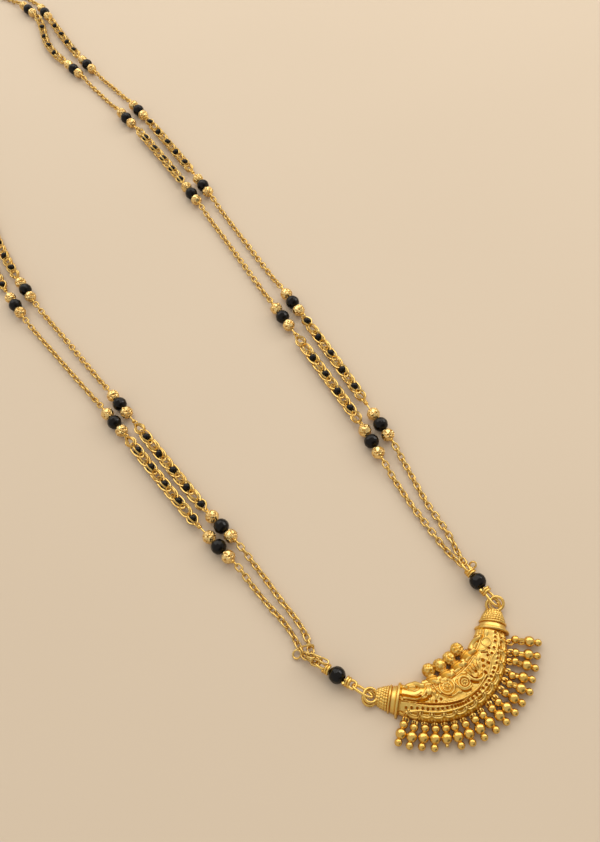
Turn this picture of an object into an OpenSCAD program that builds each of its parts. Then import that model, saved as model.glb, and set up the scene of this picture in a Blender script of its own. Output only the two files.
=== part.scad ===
// Two-strand mangalsutra, lying flat on a surface with its pendant's back down.
// The origin is on the pendant's flat back. +Y runs from the pendant to the clasp and +Z is up.

/* [Crescent] */
// Radius of the crescent's outer edge
edge_r = 15; // [14.5:0.1:15.5]
// Radius of its inner edge
inner_r = 13.8; // [13.2:0.1:14.4]
// Distance between the centres of those two arcs
arc_offset = 7.2; // [6.8:0.1:7.6]
// Height of the crescent above its flat back
crest_h = 3.3; // [3:0.1:3.6]
// Height of its outer wall
edge_h = 0.9; // [0.7:0.1:1]
// Height of its inner wall
inner_wall_h = 1; // [0.8:0.1:1.2]
// Width of the slope along the outer edge
outer_slope = 3.2; // [3:0.1:3.4]
// Width of the slope along the inner edge
inner_slope = 2.6; // [2.3:0.1:2.8]

/* [Relief] */
// Radius of the fine raised lines
line_r = 0.15; // [0.12:0.01:0.18]
// Number of punched dots in the row along the front
dot_count = 27; // [21:1:29]
// Radius of a punched dot
dot_r = 0.28; // [0.2:0.01:0.3]
// Number of scallops along the outer slope
scallop_count = 11; // [7:1:12]
// Radius of a scallop
scallop_r = 0.8; // [0.6:0.05:0.9]
// Number of small scallops along the inner rim
rim_scallop_count = 15; // [9:1:17]
// Radius of a rosette
rosette_r = 1.1; // [0.9:0.05:1.2]

/* [Caps and eyes] */
// Length of the cap on each end of the crescent
cap_len = 4.6; // [4.2:0.1:5]
// Radius of its flange
cap_r = 3.4; // [3.2:0.05:3.6]
// Radius of the eye's wire ring, to the middle of the wire
eye_r = 1.3; // [1.2:0.05:1.5]
// Thickness of the eye's wire
eye_wire = 0.56; // [0.5:0.02:0.6]

/* [Fringe] */
// Number of drops
drop_count = 17; // [15:1:17]
// Angle between two drops
drop_pitch = 7; // [6.9:0.05:7.2]
// Diameter of a drop's top ball
top_ball = 1.16; // [1:0.02:1.3]
// Diameter of its main ball
main_ball = 2; // [1.8:0.05:2]
// Diameter of its tip ball
tip_ball = 1.44; // [1.2:0.04:1.6]
// Thickness of the stem between the balls
drop_stem = 0.5; // [0.4:0.02:0.6]
// Bare stem between the top ball and the main ball
top_neck = 0.22; // [0.1:0.02:0.26]
// The same between the main ball and the tip ball
tip_neck = 0.08; // [0.04:0.02:0.14]
// Thickness of the fringe's wire rings
fringe_wire = 0.26; // [0.22:0.02:0.28]

/* [Beads] */
// Diameter of a black bead
black_d = 3.5; // [3:0.1:3.8]
// Diameter of a gold bead
gold_d = 3; // [2.7:0.1:3.2]
// Thickness of the wire through the beads
bead_wire = 0.4; // [0.3:0.02:0.44]
// Radius of the loops at the wire's ends, to the middle of the wire
loop_r = 0.65; // [0.62:0.01:0.75]

/* [Link wires] */
// Distance from the eye to the black bead on the right
right_reach = 5.8; // [5.4:0.1:6.6]
// The same on the left
left_reach = 7.6; // [6.8:0.1:8]
// Length of the wrapped collar on each side of that bead
collar_len = 1; // [0.8:0.05:1.1]
// Diameter of the collar
collar_d = 2; // [1.6:0.1:2.2]

/* [Woven chain] */
// Distance between two almond-shaped links
weave_pitch = 3; // [2.9:0.02:3.1]
// Width of a link, to the middle of its wire
weave_w = 2.35; // [2.1:0.05:2.6]
// Thickness of its wire
weave_wire = 0.45; // [0.4:0.01:0.46]

/* [Fine chain] */
// Diameter of the fine chain
fine_d = 1.6; // [1.3:0.1:1.8]
// Thickness of the rings at the ends of the fine chain
fine_wire = 0.36; // [0.3:0.02:0.4]
// Radius of those rings, to the middle of the wire
fine_ring_r = 0.62; // [0.58:0.01:0.7]

/* [Clasp] */
// Length of the clasp's barrel
clasp_len = 9; // [7:0.5:11]
// Diameter of the barrel
clasp_d = 3; // [2.6:0.1:3.4]

/* [Hidden] */
// Clearance between two pieces
gap = 0.1;
// Radius of an eye that holds the ends of both strands
twin_loop_r = 0.85;
// Rise and fall of the two end rings in such an eye
twin_step = fine_wire / 2 + 0.08;
// Radius of the fine chain's tube at its end rings, and the length over which it grows to full size
fine_tip_r = 0.3;
fine_lead = 4;
// Faces round a curved piece
$fn = 48;

STRANDS = ["right_outer", "right_inner", "left_inner", "left_outer"];
// Lengths of fine chain before the 1st, 3rd and 5th bead group, a row for each strand
FINE_LENGTHS = [
    [33.8, 42.7, 22.8],
    [31.0, 44.5, 24.5],
    [33.0, 40.0, 26.0],
    [29.4, 40.7, 26.5],
];
// Number of links in each stretch of woven chain
WEAVE_COUNTS = [
    [10, 10, 9],
    [10, 10, 11],
    [10, 10, 11],
    [10, 10, 9],
];
// Bare wire between a bead group and the woven chain that it holds
WEAVE_STEMS = [2, 2, 0.6];
// Route of each strand from its link wire to the clasp
ROUTES = [
    [[16.31, 21.27], [16.85, 23.4], [17.8, 26.8], [18.4, 31.5], [19, 37.4], [21.4, 49.8], [22.5, 59], [24.6, 80],
     [26.3, 103], [27.9, 130], [29.6, 157], [30.5, 180], [30.5, 201], [29.6, 218], [27.6, 236], [28, 256],
     [29.2, 276], [28.5, 288], [25.3, 300], [21.9, 307.2], [18, 312], [13.7, 315], [9.6, 315.65], [7.22, 315.31]],
    [[15.69, 21.27], [15.35, 23.45], [15.35, 27.3], [15.6, 33], [16, 40], [17.3, 51], [18.4, 56.5], [20.2, 78],
     [21.5, 100], [23.5, 128], [25.2, 156], [26, 178], [25.7, 200], [24.6, 218], [23.3, 236], [21.7, 248],
     [22, 258], [23.7, 265], [25.6, 273], [25.5, 281], [23.3, 292], [20.2, 300.5], [16.8, 307], [12.9, 311.9],
     [9.53, 314], [7.22, 314.69]],
    [[-21.04, 22.07], [-20.7, 24.2], [-19.75, 27.6], [-19.6, 32], [-20, 37.6], [-20.2, 44], [-20.8, 53], [-22.2, 60],
     [-24, 80], [-25.9, 104], [-28.4, 130], [-30.6, 155], [-29.8, 178], [-26.8, 200], [-24.8, 218],
     [-23.3, 236], [-21.9, 248], [-22.2, 258], [-23.9, 265], [-25.6, 273], [-25.5, 281], [-23.3, 292], [-20.2, 300.5],
     [-16.8, 307], [-12.9, 311.9], [-9.53, 314], [-7.22, 314.69]],
    [[-21.6, 21.82], [-22.35, 23.9], [-22.2, 26.6], [-21.95, 29.8], [-22.1, 33], [-22.75, 37.6], [-23.35, 44],
     [-23.6, 48.5], [-25.3, 56], [-27.4, 77],
     [-29.4, 100], [-32.6, 126], [-35.2, 151], [-34.4, 178], [-31.8, 201], [-29.6, 220], [-27.8, 237],
     [-28.2, 256], [-29.2, 276], [-28.5, 288], [-25.3, 300], [-21.9, 307.2], [-18, 312], [-13.7, 315],
     [-9.6, 315.65], [-7.22, 315.31]],
];
// Middle of the clasp
CLASP = [0, 315];

// Places of the crescent's arcs
edge_centre = [0, 11];
inner_centre = edge_centre + [0, arc_offset];
// Lowest point of the inner edge, over which the field's leaves and flowers are placed
rim_low = inner_centre[1] - inner_r;
cap_base = [11.65, 6.1];
eye_off = cap_base + [4.35, 3.9];
eye_z = 1.15;
eye_tilt = 20;

// Radii of the slopes, worked out from their width and fall
function slope_r(w, fall) = (w * w + fall * fall) / (2 * fall);
outer_r = slope_r(outer_slope, crest_h - edge_h);
inner_slope_r = slope_r(inner_slope, crest_h - inner_wall_h);

// Height of the front over a place on the crescent
function outer_z(r) = let (d = max(0, r - edge_r + outer_slope)) crest_h - outer_r + sqrt(outer_r * outer_r - d * d);
function inner_z(r) = let (d = max(0, inner_r + inner_slope - r))
    crest_h - inner_slope_r + sqrt(inner_slope_r * inner_slope_r - d * d);
function front_z(p) = min(outer_z(norm(p - edge_centre)), inner_z(norm(p - inner_centre)));
function outer_lean(r) = asin(max(0, r - edge_r + outer_slope) / outer_r);
function inner_lean(r) = asin(max(0, inner_r + inner_slope - r) / inner_slope_r);

// Lengths along a bead group
gold_at = (black_d + gold_d) / 2 + gap;
bead_end = gold_at + gold_d / 2;
loop_at = bead_end + gap + bead_wire / 2 + loop_r;
// Link geometry
weave_h = (weave_pitch + 1.3 * (weave_wire + gap)) / 2;
weave_hook = loop_r + weave_h - 1.2 * ((bead_wire + weave_wire) / 2 + gap);
fine_hook = loop_r + fine_ring_r - bead_wire / 2 - fine_wire / 2 - gap;
twin_hook = twin_loop_r + fine_ring_r - bead_wire / 2 - fine_wire / 2 - 2.5 * gap;
group_z = black_d / 2;
weave_z = (weave_w + weave_wire) / 2 + 0.05;
fine_z = fine_d / 2 + 0.05;
clasp_loop = clasp_len / 2 + gap + bead_wire / 2 + twin_loop_r;
// Link wires: from the eye's centre to the bead, and on to the loop for the strands
link_loop_r = (eye_wire + bead_wire) / 2 + 3.5 * gap;
link_hook = eye_r + 1.3 * gap;
link_tail = black_d / 2 + gap + collar_len + bead_wire / 2 + twin_loop_r;
function link_dir(side) = side > 0 ? [0, 1] : [-sin(24), cos(24)];
function link_reach(side) = side > 0 ? right_reach : left_reach;
function link_start(side) = [side * eye_off[0], eye_off[1]];
function joint(side) = link_start(side) + link_dir(side) * (link_reach(side) + link_tail);
link_z = [eye_z + 0.3, black_d / 2];
// Fringe: a drop's ring lies in an eyelet that stands upright on the outer wall
eyelet_r = fringe_wire + gap + 0.04;
drop_ring_at = edge_r + gap + fringe_wire / 2 + eyelet_r;
eyelet_at = drop_ring_at - (2 * eyelet_r - fringe_wire - gap);
drop_z = main_ball / 2;

function strand_side(k) = k < 2 ? 1 : -1;
function strand_twin(k) = k == 0 || k == 3 ? 1 : -1;
function unit(v) = v / norm(v);
function catmull(a, b, c, d, t) =
    0.5 * (2 * b + (c - a) * t + (2 * a - 5 * b + 4 * c - d) * t * t + (3 * b - a - 3 * c + d) * t * t * t);
function spline(p, n) = [
    for (i = [0 : len(p) - 2]) for (j = [0 : n - 1])
        catmull(p[max(i - 1, 0)], p[i], p[i + 1], p[min(i + 2, len(p) - 1)], j / n),
    p[len(p) - 1]
];
function run(p) = [for (i = 0, s = 0; i < len(p); s = s + norm(p[min(i + 1, len(p) - 1)] - p[i]), i = i + 1) s];
function table(p) = let (s = run(p)) [[for (i = [0 : len(p) - 1]) [s[i], p[i][0]]],
                                     [for (i = [0 : len(p) - 1]) [s[i], p[i][1]]], s[len(p) - 1]];
function at(t, s) = [lookup(s, t[0]), lookup(s, t[1])];
function strand_path(k) = table(spline(concat([joint(strand_side(k))], ROUTES[k],
                                              [CLASP + [strand_side(k) * clasp_loop, 0]]), 12));

// Places of the six bead groups along a strand
function weave_span(k, i) = WEAVE_STEMS[i] + 2 * weave_hook + (WEAVE_COUNTS[k][i] - 1) * weave_pitch;
function group_s(k, g) = g == 0 ? FINE_LENGTHS[k][0] + loop_at
    : g % 2 == 0 ? group_s(k, g - 1) + FINE_LENGTHS[k][g / 2] + 2 * loop_at
    : group_s(k, g - 1) + weave_span(k, (g - 1) / 2) + 2 * loop_at;
// Reach of a group's wire before and after its black bead
function stem(k, g, after) = strand_twin(k) > 0
    ? (g % 2 == 0 && after ? WEAVE_STEMS[g / 2] : 0)
    : (g % 2 == 1 && !after ? WEAVE_STEMS[(g - 1) / 2] : 0);
function group_frame(k, g, t) = let (s = group_s(k, g), a = at(t, s - loop_at - stem(k, g, false)),
    b = at(t, s + loop_at + stem(k, g, true)), d = unit(b - a)) [a + d * (loop_at + stem(k, g, false)), d];

module ring(r, wire) {
    rotate_extrude() translate([r, 0]) circle(d = wire);
}

// Turns its children from the X axis to run from p to q
module run_from(p, q) {
    v = q - p;
    translate(p) rotate([0, -atan2(v[2], norm([v[0], v[1]])), atan2(v[1], v[0])]) children();
}

// A ring whose plane holds the X axis and leans from upright by roll
module upright_ring(x, r, wire, roll = 0) {
    translate([x, 0, 0]) rotate([roll, 0, 0]) rotate([90, 0, 0]) ring(r, wire);
}

// Crescent
module slope_profile(far, edge, width, radius) {
    side = far > edge ? 1 : -1;
    lo = min(edge, far);
    intersection() {
        translate([lo, 0]) square([abs(far - edge), crest_h]);
        union() {
            translate([side > 0 ? edge + width : far, 0]) square([abs(far - edge) - width, crest_h]);
            translate([edge + side * width, crest_h - radius]) circle(radius, $fn = 96);
        }
    }
}

module crescent_body() {
    intersection() {
        translate(concat(edge_centre, 0)) rotate_extrude($fn = 96)
            slope_profile(4, edge_r, outer_slope, outer_r);
        translate(concat(inner_centre, 0)) rotate_extrude($fn = 96)
            slope_profile(30, inner_r, inner_slope, inner_slope_r);
        end_wedge();
    }
}

// Holds what lies between the planes where the caps sit
module end_wedge() {
    far = 40;
    corner = [0, cap_base[0] + cap_base[1]];
    linear_extrude(crest_h + 2) polygon([corner, corner + [far, -far], corner + [0, -2 * far], corner + [-far, -far]]);
}

module edge_line(r, sweep) {
    translate(concat(edge_centre, outer_z(r))) rotate([0, 0, -90 - sweep])
        rotate_extrude(angle = 2 * sweep, $fn = 96) translate([r, 0]) circle(line_r, $fn = 16);
}

module rim_line(r, sweep) {
    translate(concat(inner_centre, inner_z(r))) rotate([0, 0, -90 - sweep])
        rotate_extrude(angle = 2 * sweep, $fn = 96) translate([r, 0]) circle(line_r, $fn = 16);
}

// Places its children on the outer slope, their X axis outwards and their Z axis off the surface
module on_slope(angle, r) {
    translate(concat(edge_centre, 0)) rotate([0, 0, angle - 90]) translate([r, 0, outer_z(r)])
        rotate([0, outer_lean(r), 0]) children();
}

module on_rim(angle, r) {
    translate(concat(inner_centre, 0)) rotate([0, 0, angle - 90]) translate([r, 0, inner_z(r)])
        rotate([0, -inner_lean(r), 0]) children();
}

module half_ring(r, wire) {
    rotate([0, 0, -90]) rotate_extrude(angle = 180) translate([r, 0]) circle(d = wire, $fn = 16);
}

// Places its children on the front, y over the inner edge's lowest point
module in_field(x, y, rise = 0) {
    p = [x, rim_low + y];
    translate(concat(p, front_z(p) + rise)) children();
}

// A leaf is the top of a lens sunk in the surface, with a ridge along its middle
module leaf(x, y, turn, length, width) {
    rise = 0.32;
    lens_r = (length * length / 4 + rise * rise) / (2 * rise);
    off = length * length / (4 * width) - width / 4;
    ball_r = norm([off, lens_r]);
    in_field(x, y) rotate([0, 0, turn]) intersection() {
        translate([0, off, rise - lens_r]) sphere(ball_r);
        translate([0, -off, rise - lens_r]) sphere(ball_r);
        translate([0, 0, -0.6]) cylinder(2, r = length / 2 + 0.3);
    }
}

module rosette(x, y) {
    in_field(x, y) {
        ring(rosette_r - line_r, 2 * line_r);
        sphere(0.3);
        for (i = [0 : 5])
            rotate([0, 0, 60 * i]) translate([0.54, 0, -0.05]) sphere(0.22);
    }
}

module stem_arc(x, y, start, sweep, r) {
    in_field(x, y, 0.02) rotate([0, 0, start])
        rotate_extrude(angle = sweep) translate([r, 0]) circle(line_r, $fn = 16);
}

module bud(x, y) {
    in_field(x, y) sphere(0.26);
}

// Leaves, stems and flowers of the main field, from left to right
module field() {
    leaf(-9.4, 1, -42, 3.2, 0.8);
    leaf(-8.1, -0.8, -50, 2.2, 0.7);
    stem_arc(-6.6, -0.2, 60, 150, 0.8);
    stem_arc(-5.2, -1.1, -120, 150, 0.8);
    leaf(-5.0, -2.3, -20, 1.8, 0.7);
    bud(-6.6, -0.2);
    bud(-4.6, -0.5);
    rosette(-2.7, -2);
    leaf(-1, -1.4, 70, 1.5, 0.6);
    leaf(-0.9, -3.8, -50, 1.5, 0.6);
    rosette(0.7, -3.1);
    leaf(0.8, -1.2, 10, 1.7, 0.6);
    for (i = [0 : 3])
        leaf(3.1 + 0.55 * i, 0.45 * i - 2.9, 100 - 22 * i, 1.9, 0.5);
    leaf(4.9, -3.3, 25, 2.6, 0.8);
    bud(6.1, -0.7);
    stem_arc(7.4, -1.1, 150, 160, 0.8);
    leaf(7.9, 0.2, 40, 1.9, 0.7);
    bud(9.2, 0.2);
    leaf(10, 1.5, 48, 2, 0.7);
}

module relief() {
    edge_line(edge_r - 2.65, 57);
    edge_line(edge_r - 1.4, 58);
    edge_line(edge_r - 0.12, 59);
    rim_line(inner_r + 0.95, 39);
    rim_line(inner_r + 1.4, 39);
    for (i = [0 : scallop_count - 1]) {
        on_slope(110 / scallop_count * (i - (scallop_count - 1) / 2), edge_r - 0.95) {
            half_ring(scallop_r, 2 * line_r);
            translate([0, 0, -0.05]) sphere(0.28);
        }
    }
    for (i = [0 : rim_scallop_count - 1])
        on_rim(72 / rim_scallop_count * (i - (rim_scallop_count - 1) / 2), inner_r + 0.35)
            rotate([0, 0, 180]) half_ring(0.42, 2 * line_r);
    field();
}

module punched_dots() {
    for (i = [0 : dot_count - 1])
        on_slope(112 / dot_count * (i - (dot_count - 1) / 2), edge_r - 2)
            translate([0, 0, 0.06]) sphere(dot_r);
}

// Flanged cap with a rounded tip, turned about an axis in the flat back
module cap() {
    intersection() {
        translate(concat(cap_base, 0)) rotate([0, 0, 45]) rotate([0, 90, 0]) rotate_extrude() polygon([
            [0, -0.5], [cap_r, -0.5], [cap_r, 0.4], [cap_r - 0.5, 0.5], [cap_r - 0.5, 1], [cap_r - 0.2, 1.05],
            [cap_r - 0.2, 1.4], [cap_r - 0.55, 1.45], [cap_r - 0.75, cap_len * 0.5],
            [cap_r - 1.25, cap_len * 0.72], [cap_r - 1.9, cap_len * 0.9], [cap_r - 2.5, cap_len], [0, cap_len]]);
        translate(concat(cap_base, 0)) rotate([0, 0, 45]) translate([-1, -5, 0]) cube([cap_len + 2, 10, 5]);
    }
    translate(concat(eye_off, eye_z)) rotate([0, 0, 45]) rotate([0, -eye_tilt, 0]) ring(eye_r, eye_wire);
}

// Balls that stand on short necks on the inner edge
module inner_ball(angle) {
    ball_r = 1;
    out = inner_r - 2.25;
    translate(concat(inner_centre, ball_r)) rotate([0, 0, angle - 90]) {
        translate([out, 0, 0]) sphere(ball_r);
        translate([out, 0, -0.3]) rotate([0, 90, 0]) cylinder(2.6, r = 0.4);
    }
}

// Eyelets for the drops, half sunk in the outer wall
module eyelet(angle) {
    translate(concat(edge_centre, drop_z)) rotate([0, 0, angle - 90]) {
        upright_ring(eyelet_at, eyelet_r, fringe_wire);
    }
}

function drop_angle(i) = drop_pitch * (i - (drop_count - 1) / 2);

module crescent() {
    color("gold") difference() {
        union() {
            crescent_body();
            relief();
            for (side = [0, 1])
                mirror([side, 0, 0]) cap();
            for (angle = [-18, -6, 6, 18])
                inner_ball(angle);
            for (i = [0 : drop_count - 1])
                eyelet(drop_angle(i));
        }
        punched_dots();
    }
}

// Side of a ball on the turned axis, between two angles from its near end
function ball_side(at, d, from, to) =
    [for (k = [0 : 8]) let (a = from + (to - from) * k / 8) [d / 2 * sin(a), at - d / 2 * cos(a)]];

// Drop of three balls turned in one, and a ring
module drop(i) {
    top_at = eyelet_at + eyelet_r + fringe_wire / 2 + gap + top_ball / 2;
    main_at = top_at + top_ball / 2 + main_ball / 2 + top_neck;
    tip_at = main_at + main_ball / 2 + tip_ball / 2 + tip_neck;
    top_turn = asin(drop_stem / top_ball);
    main_turn = asin(drop_stem / main_ball);
    tip_turn = asin(drop_stem / tip_ball);
    if (i < drop_count)
        color("gold") translate(concat(edge_centre, drop_z)) rotate([0, 0, drop_angle(i) - 90]) {
            translate([drop_ring_at, 0, 0]) ring(eyelet_r, fringe_wire);
            rotate([0, 90, 0]) rotate_extrude() polygon(concat(
                ball_side(top_at, top_ball, 0, 180 - top_turn),
                ball_side(main_at, main_ball, main_turn, 180 - main_turn),
                ball_side(tip_at, tip_ball, tip_turn, 180)));
        }
}

// Link wires between the eyes and the strands
module along_link(side) {
    a = concat(link_start(side), link_z[0]);
    b = concat(link_start(side) + link_dir(side) * link_reach(side), link_z[1]);
    run_from(a, b) children();
}

module link_wire(side) {
    reach = norm([link_reach(side), link_z[1] - link_z[0]]);
    collar = reach - black_d / 2 - gap - collar_len;
    color("gold") along_link(side) {
        upright_ring(link_hook, link_loop_r, bead_wire);
        upright_ring(reach + link_tail, twin_loop_r, bead_wire);
        translate([link_hook + link_loop_r, 0, 0]) rotate([0, 90, 0])
            cylinder(reach + link_tail - twin_loop_r - link_hook - link_loop_r, d = bead_wire);
        for (x = [collar, reach + black_d / 2 + gap])
            translate([x, 0, 0]) rotate([0, 90, 0]) cylinder(collar_len, d = collar_d);
    }
}

module link_bead(side) {
    reach = norm([link_reach(side), link_z[1] - link_z[0]]);
    color("black") along_link(side) translate([reach, 0, 0]) drilled_bead(black_d);
}

// A bead turned round its own bore
module drilled_bead(d) {
    bore_r = bead_wire / 2 + gap;
    rotate([0, 90, 0]) rotate_extrude() intersection() {
        circle(d = d);
        translate([bore_r, -d / 2]) square([d, d]);
    }
}

// Bead groups
module at_group(k, g, t) {
    f = group_frame(k, g, t);
    translate(concat(f[0], group_z)) rotate([0, 0, atan2(f[1][1], f[1][0])]) children();
}

module black_beads(k) {
    t = strand_path(k);
    color("black") for (g = [0 : 5])
        at_group(k, g, t) drilled_bead(black_d);
}

module gold_beads(k) {
    t = strand_path(k);
    color("gold") for (g = [0 : 5])
        at_group(k, g, t) for (x = [-gold_at, gold_at])
            translate([x, 0, 0]) drilled_bead(gold_d);
}

// A woven stretch is held at loops that lean the other way from its first and last link
function weave_roll(i) = i % 2 == 0 ? 45 : -45;

module bead_wires(k) {
    t = strand_path(k);
    color("gold") for (g = [0 : 5]) {
        woven_after = g % 2 == 0;
        stretch = floor(g / 2);
        last_roll = weave_roll(WEAVE_COUNTS[k][stretch] - 1);
        before = loop_at + stem(k, g, false);
        after = loop_at + stem(k, g, true);
        at_group(k, g, t) {
            translate([loop_r - before, 0, 0]) rotate([0, 90, 0]) cylinder(before + after - 2 * loop_r, d = bead_wire);
            upright_ring(-before, loop_r, bead_wire, woven_after ? 0 : -last_roll);
            upright_ring(after, loop_r, bead_wire, woven_after ? -weave_roll(0) : 0);
        }
    }
}

// Woven chain: almond-shaped links, two bows soldered at the tips, each turned a quarter from the last
module almond(h, b, wire) {
    side_r = (h * h + b * b) / (2 * b);
    half_turn = asin(h / side_r);
    for (turn = [0, 180]) rotate([0, 0, turn]) {
        translate([0, b - side_r, 0]) rotate([0, 0, 90 - half_turn])
            rotate_extrude(angle = 2 * half_turn) translate([side_r, 0]) circle(d = wire);
        translate([h, 0, 0]) sphere(wire / 2 + 0.04);
    }
}

module woven(k, i) {
    t = strand_path(k);
    g = 2 * i;
    first = group_s(k, g) + loop_at + stem(k, g, true) + weave_hook;
    span = (WEAVE_COUNTS[k][i] - 1) * weave_pitch;
    color("gold") for (j = [0 : WEAVE_COUNTS[k][i] - 1]) {
        s = first + j * weave_pitch;
        a = concat(at(t, s - weave_h), weave_height(s - weave_h, first, span));
        b = concat(at(t, s + weave_h), weave_height(s + weave_h, first, span));
        run_from((a + b) / 2, b) rotate([90 + weave_roll(j), 0, 0])
            almond(weave_h, weave_w / 2, weave_wire);
    }
}

// The woven chain sinks from the beads' axis to rest on its own wires
function weave_height(s, first, span) =
    let (d = max(0, min(s - first, first + span - s))) group_z + (weave_z - group_z) * min(1, d / 8);

// Fine chain, as a tube with the last link at each end
module tube(points, radii) {
    n = 8;
    last = len(points) - 1;
    rings = [for (i = [0 : last]) let (d = unit(points[min(i + 1, last)] - points[max(i - 1, 0)]),
        side = unit([-d[1], d[0], 0]), up = cross(d, side))
        for (j = [0 : n - 1]) points[i] + radii[i] * (cos(360 / n * j) * side + sin(360 / n * j) * up)];
    faces = concat([[for (j = [0 : n - 1]) j]], [[for (j = [n - 1 : -1 : 0]) last * n + j]],
        [for (i = [0 : last - 1]) for (j = [0 : n - 1]) let (a = i * n + j, b = i * n + (j + 1) % n)
            each [[a, a + n, b + n], [a, b + n, b]]]);
    polyhedron(rings, faces);
}

// One stretch from loop to loop, whose end rings lie flat at the heights given
module fine_stretch(t, s0, s1, z0, z1, hook0, hook1) {
    a = s0 + hook0;
    b = s1 - hook1;
    tube_a = a + fine_ring_r;
    tube_b = b - fine_ring_r;
    steps = max(1, round((tube_b - tube_a - 2 * fine_lead) / 8.5));
    s = concat([tube_a], [for (i = [0 : steps]) tube_a + fine_lead + (tube_b - tube_a - 2 * fine_lead) * i / steps], [tube_b]);
    heights = concat([z0], [for (i = [0 : steps]) fine_z], [z1]);
    radii = concat([fine_tip_r], [for (i = [0 : steps]) fine_d / 2], [fine_tip_r]);
    tube([for (i = [0 : len(s) - 1]) concat(at(t, s[i]), heights[i])], radii);
    translate(concat(at(t, a), z0)) ring(fine_ring_r, fine_wire);
    translate(concat(at(t, b), z1)) ring(fine_ring_r, fine_wire);
}

module fine(k) {
    t = strand_path(k);
    start_z = group_z + twin_step * strand_twin(k) + link_rise(strand_side(k));
    color("gold") {
        fine_stretch(t, 0, FINE_LENGTHS[k][0], start_z, group_z, twin_hook, fine_hook);
        for (g = [2, 4]) {
            s1 = group_s(k, g) - loop_at;
            fine_stretch(t, s1 - FINE_LENGTHS[k][g / 2], s1, group_z, group_z, fine_hook, fine_hook);
        }
    }
}

// Height of the loop at a link wire's far end over its bead
function link_rise(side) = (link_z[1] - link_z[0]) / link_reach(side) * link_tail;

module back(k) {
    t = strand_path(k);
    color("gold") fine_stretch(t, group_s(k, 5) + loop_at, t[2], group_z,
                               clasp_d / 2 + twin_step * strand_twin(k), fine_hook, twin_hook);
}

module clasp() {
    color("gold") translate(concat(CLASP, clasp_d / 2)) {
        rotate([0, 90, 0]) cylinder(clasp_len, d = clasp_d, center = true);
        for (side = [-1, 1])
            upright_ring(side * clasp_loop, twin_loop_r, bead_wire);
        rotate([0, 90, 0]) cylinder(2 * (clasp_loop - twin_loop_r), d = bead_wire, center = true);
    }
}

crescent();
for (i = [0 : 16])
    drop(i);
link_wire(1);  // right_link_wire
link_bead(1);  // right_link_bead
link_wire(-1);  // left_link_wire
link_bead(-1);  // left_link_bead
for (k = [0 : 3]) {
    fine(k);
    for (i = [0 : 2])
        woven(k, i);
    gold_beads(k);
    black_beads(k);
    bead_wires(k);
    back(k);
}
clasp();
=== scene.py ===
# A long gold necklace with black glass beads and a cast crescent pendant, laid out on a table.
import random
from math import asin, atan2, ceil, copysign, cos, degrees, dist, hypot, pi, radians, sin, sqrt

import bpy
import numpy as np
from mathutils import Matrix, Vector, noise


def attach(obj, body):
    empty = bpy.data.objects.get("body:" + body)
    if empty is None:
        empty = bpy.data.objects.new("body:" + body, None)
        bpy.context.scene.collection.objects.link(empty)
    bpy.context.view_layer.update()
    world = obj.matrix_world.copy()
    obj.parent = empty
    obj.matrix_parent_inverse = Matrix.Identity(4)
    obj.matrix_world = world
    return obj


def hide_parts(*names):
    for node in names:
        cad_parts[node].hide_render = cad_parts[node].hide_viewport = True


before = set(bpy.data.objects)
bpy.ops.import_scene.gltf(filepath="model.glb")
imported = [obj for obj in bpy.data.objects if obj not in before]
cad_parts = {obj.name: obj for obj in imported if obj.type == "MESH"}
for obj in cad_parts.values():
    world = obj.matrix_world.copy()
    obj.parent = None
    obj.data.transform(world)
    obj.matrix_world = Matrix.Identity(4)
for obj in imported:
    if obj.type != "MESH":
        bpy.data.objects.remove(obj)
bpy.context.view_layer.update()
bpy.ops.object.select_all(action="DESELECT")
mm = 0.001


# ---- Camera
# It looks down at the pendant from the near left, so that both sides of the necklace run away
# to the upper left.
view_right = Vector((0.8287, -0.5473, -0.1176))
view_up = Vector((0.5235, 0.6833, 0.5091))
view_ahead = Vector((0.1983, 0.4834, -0.8526))
lens = bpy.data.cameras.new("camera")
lens.sensor_fit = "VERTICAL"
lens.sensor_height = 36
lens.lens = 34.2
lens.clip_start = 0.01


def placed(name, data):
    """A new object in the scene."""
    made = bpy.data.objects.new(name, data)
    bpy.context.scene.collection.objects.link(made)
    return made


camera = placed("camera", lens)
camera.matrix_world = Matrix.Translation(Vector((-30.4, -21.8, 165.7)) * mm) @ Matrix(
    (view_right, view_up, -view_ahead)).transposed().to_4x4()
bpy.context.scene.camera = camera
bpy.context.scene.view_settings.view_transform = "Standard"


# ---- Table and light
# A sheet of warm beige card under two wide soft lamps, at the back and on the right, and a small
# one low on the right that gives the glass its glints. The pale room is dark low down in front.
def join(slot, value):
    """Feeds a socket with a varying amount, or sets it to a plain value."""
    if isinstance(value, Amount):
        slot.id_data.links.new(value.socket, slot)
    else:
        slot.default_value = value


def new_node(tree, kind, settings, sockets, output=0):
    """Adds a node with its settings and the values or links of its sockets."""
    made = tree.nodes.new("ShaderNode" + kind)
    for name, value in settings.items():
        setattr(made, name, value)
    for name, value in sockets.items():
        join(made.inputs[name], value)
    return Amount(made.outputs[output])


class Amount:
    """A number or a colour that varies over a surface. Arithmetic on numbers adds Math nodes."""

    def __init__(self, socket):
        self.socket = socket

    def combined(self, operation, first, second, clamp=False):
        return new_node(self.socket.id_data, "Math", {"operation": operation, "use_clamp": clamp},
                        {0: first, 1: second})

    def __add__(self, other):
        return self.combined("ADD", self, other)

    def __sub__(self, other):
        return self.combined("SUBTRACT", self, other)

    def __rsub__(self, other):
        return self.combined("SUBTRACT", other, self)

    def __mul__(self, other):
        return self.combined("MULTIPLY", self, other)

    def clamped(self):
        return self.combined("ADD", self, 0.0, clamp=True)

    __radd__, __rmul__ = __add__, __mul__


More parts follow.
